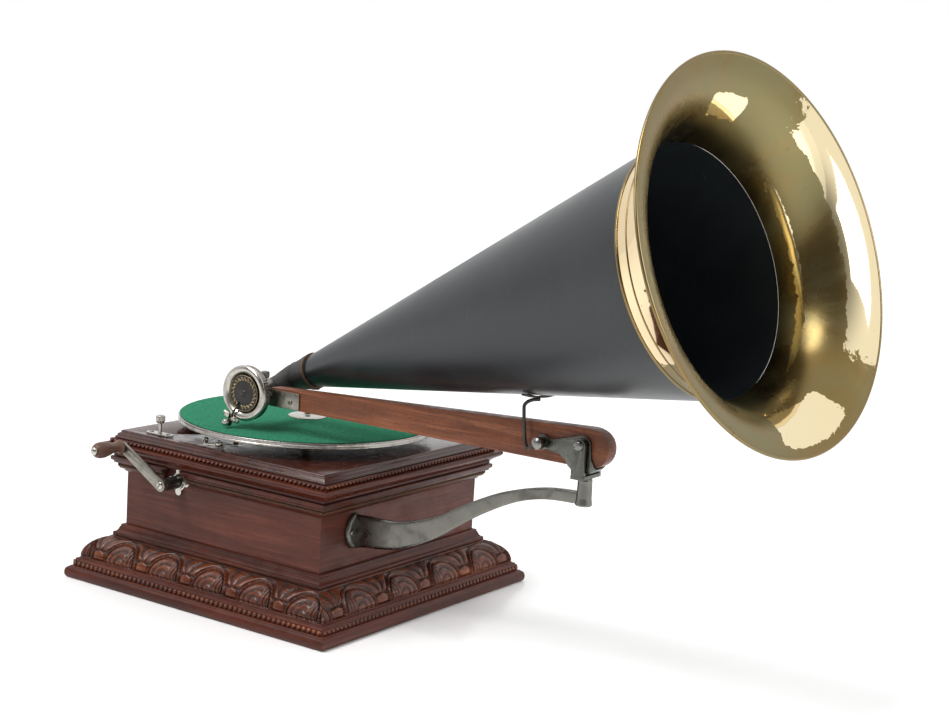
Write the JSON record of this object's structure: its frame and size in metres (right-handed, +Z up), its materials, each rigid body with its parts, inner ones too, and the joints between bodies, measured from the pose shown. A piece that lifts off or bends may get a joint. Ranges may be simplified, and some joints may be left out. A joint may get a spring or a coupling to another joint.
{
  "type": "wind-up phonograph",
  "caption": "Wind-up phonograph with a front-mounted brass-belled horn on a wooden arm, felt turntable and side crank on a carved mahogany cabinet.",
  "frame": {"origin": "centre of the cabinet's underside, on the supporting surface", "axes": "+Z up; -Y is the front, where the bracket stands and the horn points; the crank is on the -X side"},
  "size_m": [0.5126, 0.9008, 0.6514],
  "materials": {
    "mahogany": "varnished, worn at the edges",
    "arm_wood": "satin",
    "handle_wood": "worn satin",
    "nickel": "polished, slightly dulled",
    "cast_iron": "worn nickel over cast iron",
    "steel": "satin",
    "brass": "polished",
    "bell_brass": "polished with patchy tarnish",
    "horn_enamel": "satin black enamel",
    "leather": "worn black with raw brown edges",
    "felt": "napped felt",
    "blackened": "blackened"
  },
  "bodies": {
    "cabinet": {"bottom_board": "mahogany", "plinth_moulding": "mahogany", "carved_moulding": "mahogany", "base_cap_moulding": "mahogany", "front_panel": "mahogany", "back_panel": "mahogany", "right_panel": "mahogany", "crank_side_panel": "mahogany", "lower_cornice": "mahogany", "upper_cornice": "mahogany", "top_board": "mahogany", "crank_escutcheon": "nickel", "motor_bedplate": "cast_iron", "motor_side_plate_outer": "steel", "motor_side_plate_inner": "steel", "spindle_bush": "brass", "governor_frame": "cast_iron", "speed_plate": "nickel", "brake_base": "nickel", "horn_bracket": "cast_iron", "bracket_screw_1": "steel", "bracket_screw_2": "steel"},
    "crank": {"crank_shaft": "cast_iron", "crank_arm": "nickel", "crank_handle_pin": "nickel"},
    "grip": {"crank_handle": "handle_wood"},
    "arbor": {"winding_arbor": "steel"},
    "pawl": {"ratchet_pawl": "steel"},
    "barrel": {"spring_barrel": "brass", "mainspring": "blackened"},
    "second": {"second_wheel": "steel"},
    "turntable": {"turntable_spindle": "steel", "platter": "nickel", "felt_mat": "felt", "centre_cap": "nickel"},
    "governor": {"governor_shaft": "steel", "governor_weight_1": "brass", "governor_weight_2": "brass", "governor_weight_3": "brass"},
    "speed": {"speed_knob": "nickel"},
    "brake": {"brake_lever": "nickel", "brake_pad": "leather"},
    "yoke_fork": {"yoke": "cast_iron", "yoke_pin": "steel"},
    "arm": {"arm_bar": "arm_wood", "saddle_casting": "cast_iron", "horn_rest_bolt": "steel", "horn_rest": "blackened", "arm_ferrule": "nickel", "leather_elbow": "leather", "horn_cone": "horn_enamel", "horn_bell": "bell_brass"},
    "clamp": {"clamp_screw": "steel"},
    "soundbox": {"soundbox_case": "nickel", "soundbox_ring": "nickel", "diaphragm": "blackened", "stylus_mount": "nickel"},
    "stylus": {"stylus_bar": "blackened", "needle": "steel"},
    "needle_clamp": {"needle_screw": "nickel"}
  },
  "joints": [
    {"name": "crank_turn", "type": "hinge", "parent": "cabinet", "child": "crank", "pos_m": [0, 0.064, 0.131], "axis": [1, 0, 0], "continuous": true},
    {"name": "grip_spin", "type": "hinge", "parent": "crank", "child": "grip", "pos_m": [-0.179, 0.12697, 0.16591], "axis": [1, 0, 0], "continuous": true},
    {"name": "arbor_turn", "type": "hinge", "parent": "cabinet", "child": "arbor", "pos_m": [0, 0.034, 0.095], "axis": [1, 0, 0], "continuous": true},
    {"name": "pawl_rock", "type": "hinge", "parent": "cabinet", "child": "pawl", "pos_m": [-0.0895, 0.056, 0.117], "axis": [1, 0, 0], "range_deg": [0, 12]},
    {"name": "turntable_spin", "type": "hinge", "parent": "cabinet", "child": "turntable", "pos_m": [0, 0, 0.195], "axis": [0, 0, 1], "continuous": true},
    {"name": "barrel_turn", "type": "hinge", "parent": "cabinet", "child": "barrel", "pos_m": [-0.06, 0.034, 0.095], "axis": [1, 0, 0], "continuous": true},
    {"name": "second_turn", "type": "hinge", "parent": "cabinet", "child": "second", "pos_m": [-0.03, 0, 0.058], "axis": [1, 0, 0], "continuous": true},
    {"name": "governor_turn", "type": "hinge", "parent": "cabinet", "child": "governor", "pos_m": [0.027, 0, 0.122], "axis": [0, 1, 0], "continuous": true},
    {"name": "speed_turn", "type": "hinge", "parent": "cabinet", "child": "speed", "pos_m": [-0.138, 0.106, 0.18], "axis": [0, 0, 1], "range_deg": [-150, 150]},
    {"name": "brake_turn", "type": "hinge", "parent": "cabinet", "child": "brake", "pos_m": [-0.138, 0.014, 0.182], "axis": [0, 0, 1], "range_deg": [-10, 15]},
    {"name": "arm_swing", "type": "hinge", "parent": "cabinet", "child": "yoke_fork", "pos_m": [-0.09, -0.44, 0.2], "axis": [0, 0, 1], "range_deg": [-9.5, 40]},
    {"name": "arm_lift", "type": "hinge", "parent": "yoke_fork", "child": "arm", "pos_m": [-0.09, -0.44, 0.2535], "axis": [1, 0, 0], "range_deg": [0, 14]},
    {"name": "clamp_turn", "type": "hinge", "parent": "arm", "child": "clamp", "pos_m": [-0.09, -0.0086, 0.2575], "axis": [0, 0, 1], "range_deg": [-180, 180]},
    {"name": "soundbox_turn", "type": "hinge", "parent": "arm", "child": "soundbox", "pos_m": [-0.09, -0.0036, 0.2415], "axis": [1, 0, 0], "range_deg": [0, 90]},
    {"name": "stylus_rock", "type": "hinge", "parent": "soundbox", "child": "stylus", "pos_m": [-0.124, 0.00975, 0.21286], "axis": [0, 0.9063, 0.4226], "range_deg": [-0.4, 0.4]},
    {"name": "needle_screw_turn", "type": "hinge", "parent": "stylus", "child": "needle_clamp", "pos_m": [-0.128, 0.01271, 0.20652], "axis": [-1, 0, 0], "range_deg": [-180, 180]}
  ],
  "couplings": [
    {"joint": "arbor_turn", "follows": "crank_turn", "ratio": -0.58333},
    {"joint": "second_turn", "follows": "turntable_spin", "ratio": 0.55556},
    {"joint": "barrel_turn", "follows": "turntable_spin", "ratio": -0.15432},
    {"joint": "governor_turn", "follows": "turntable_spin", "ratio": 20}
  ]
}
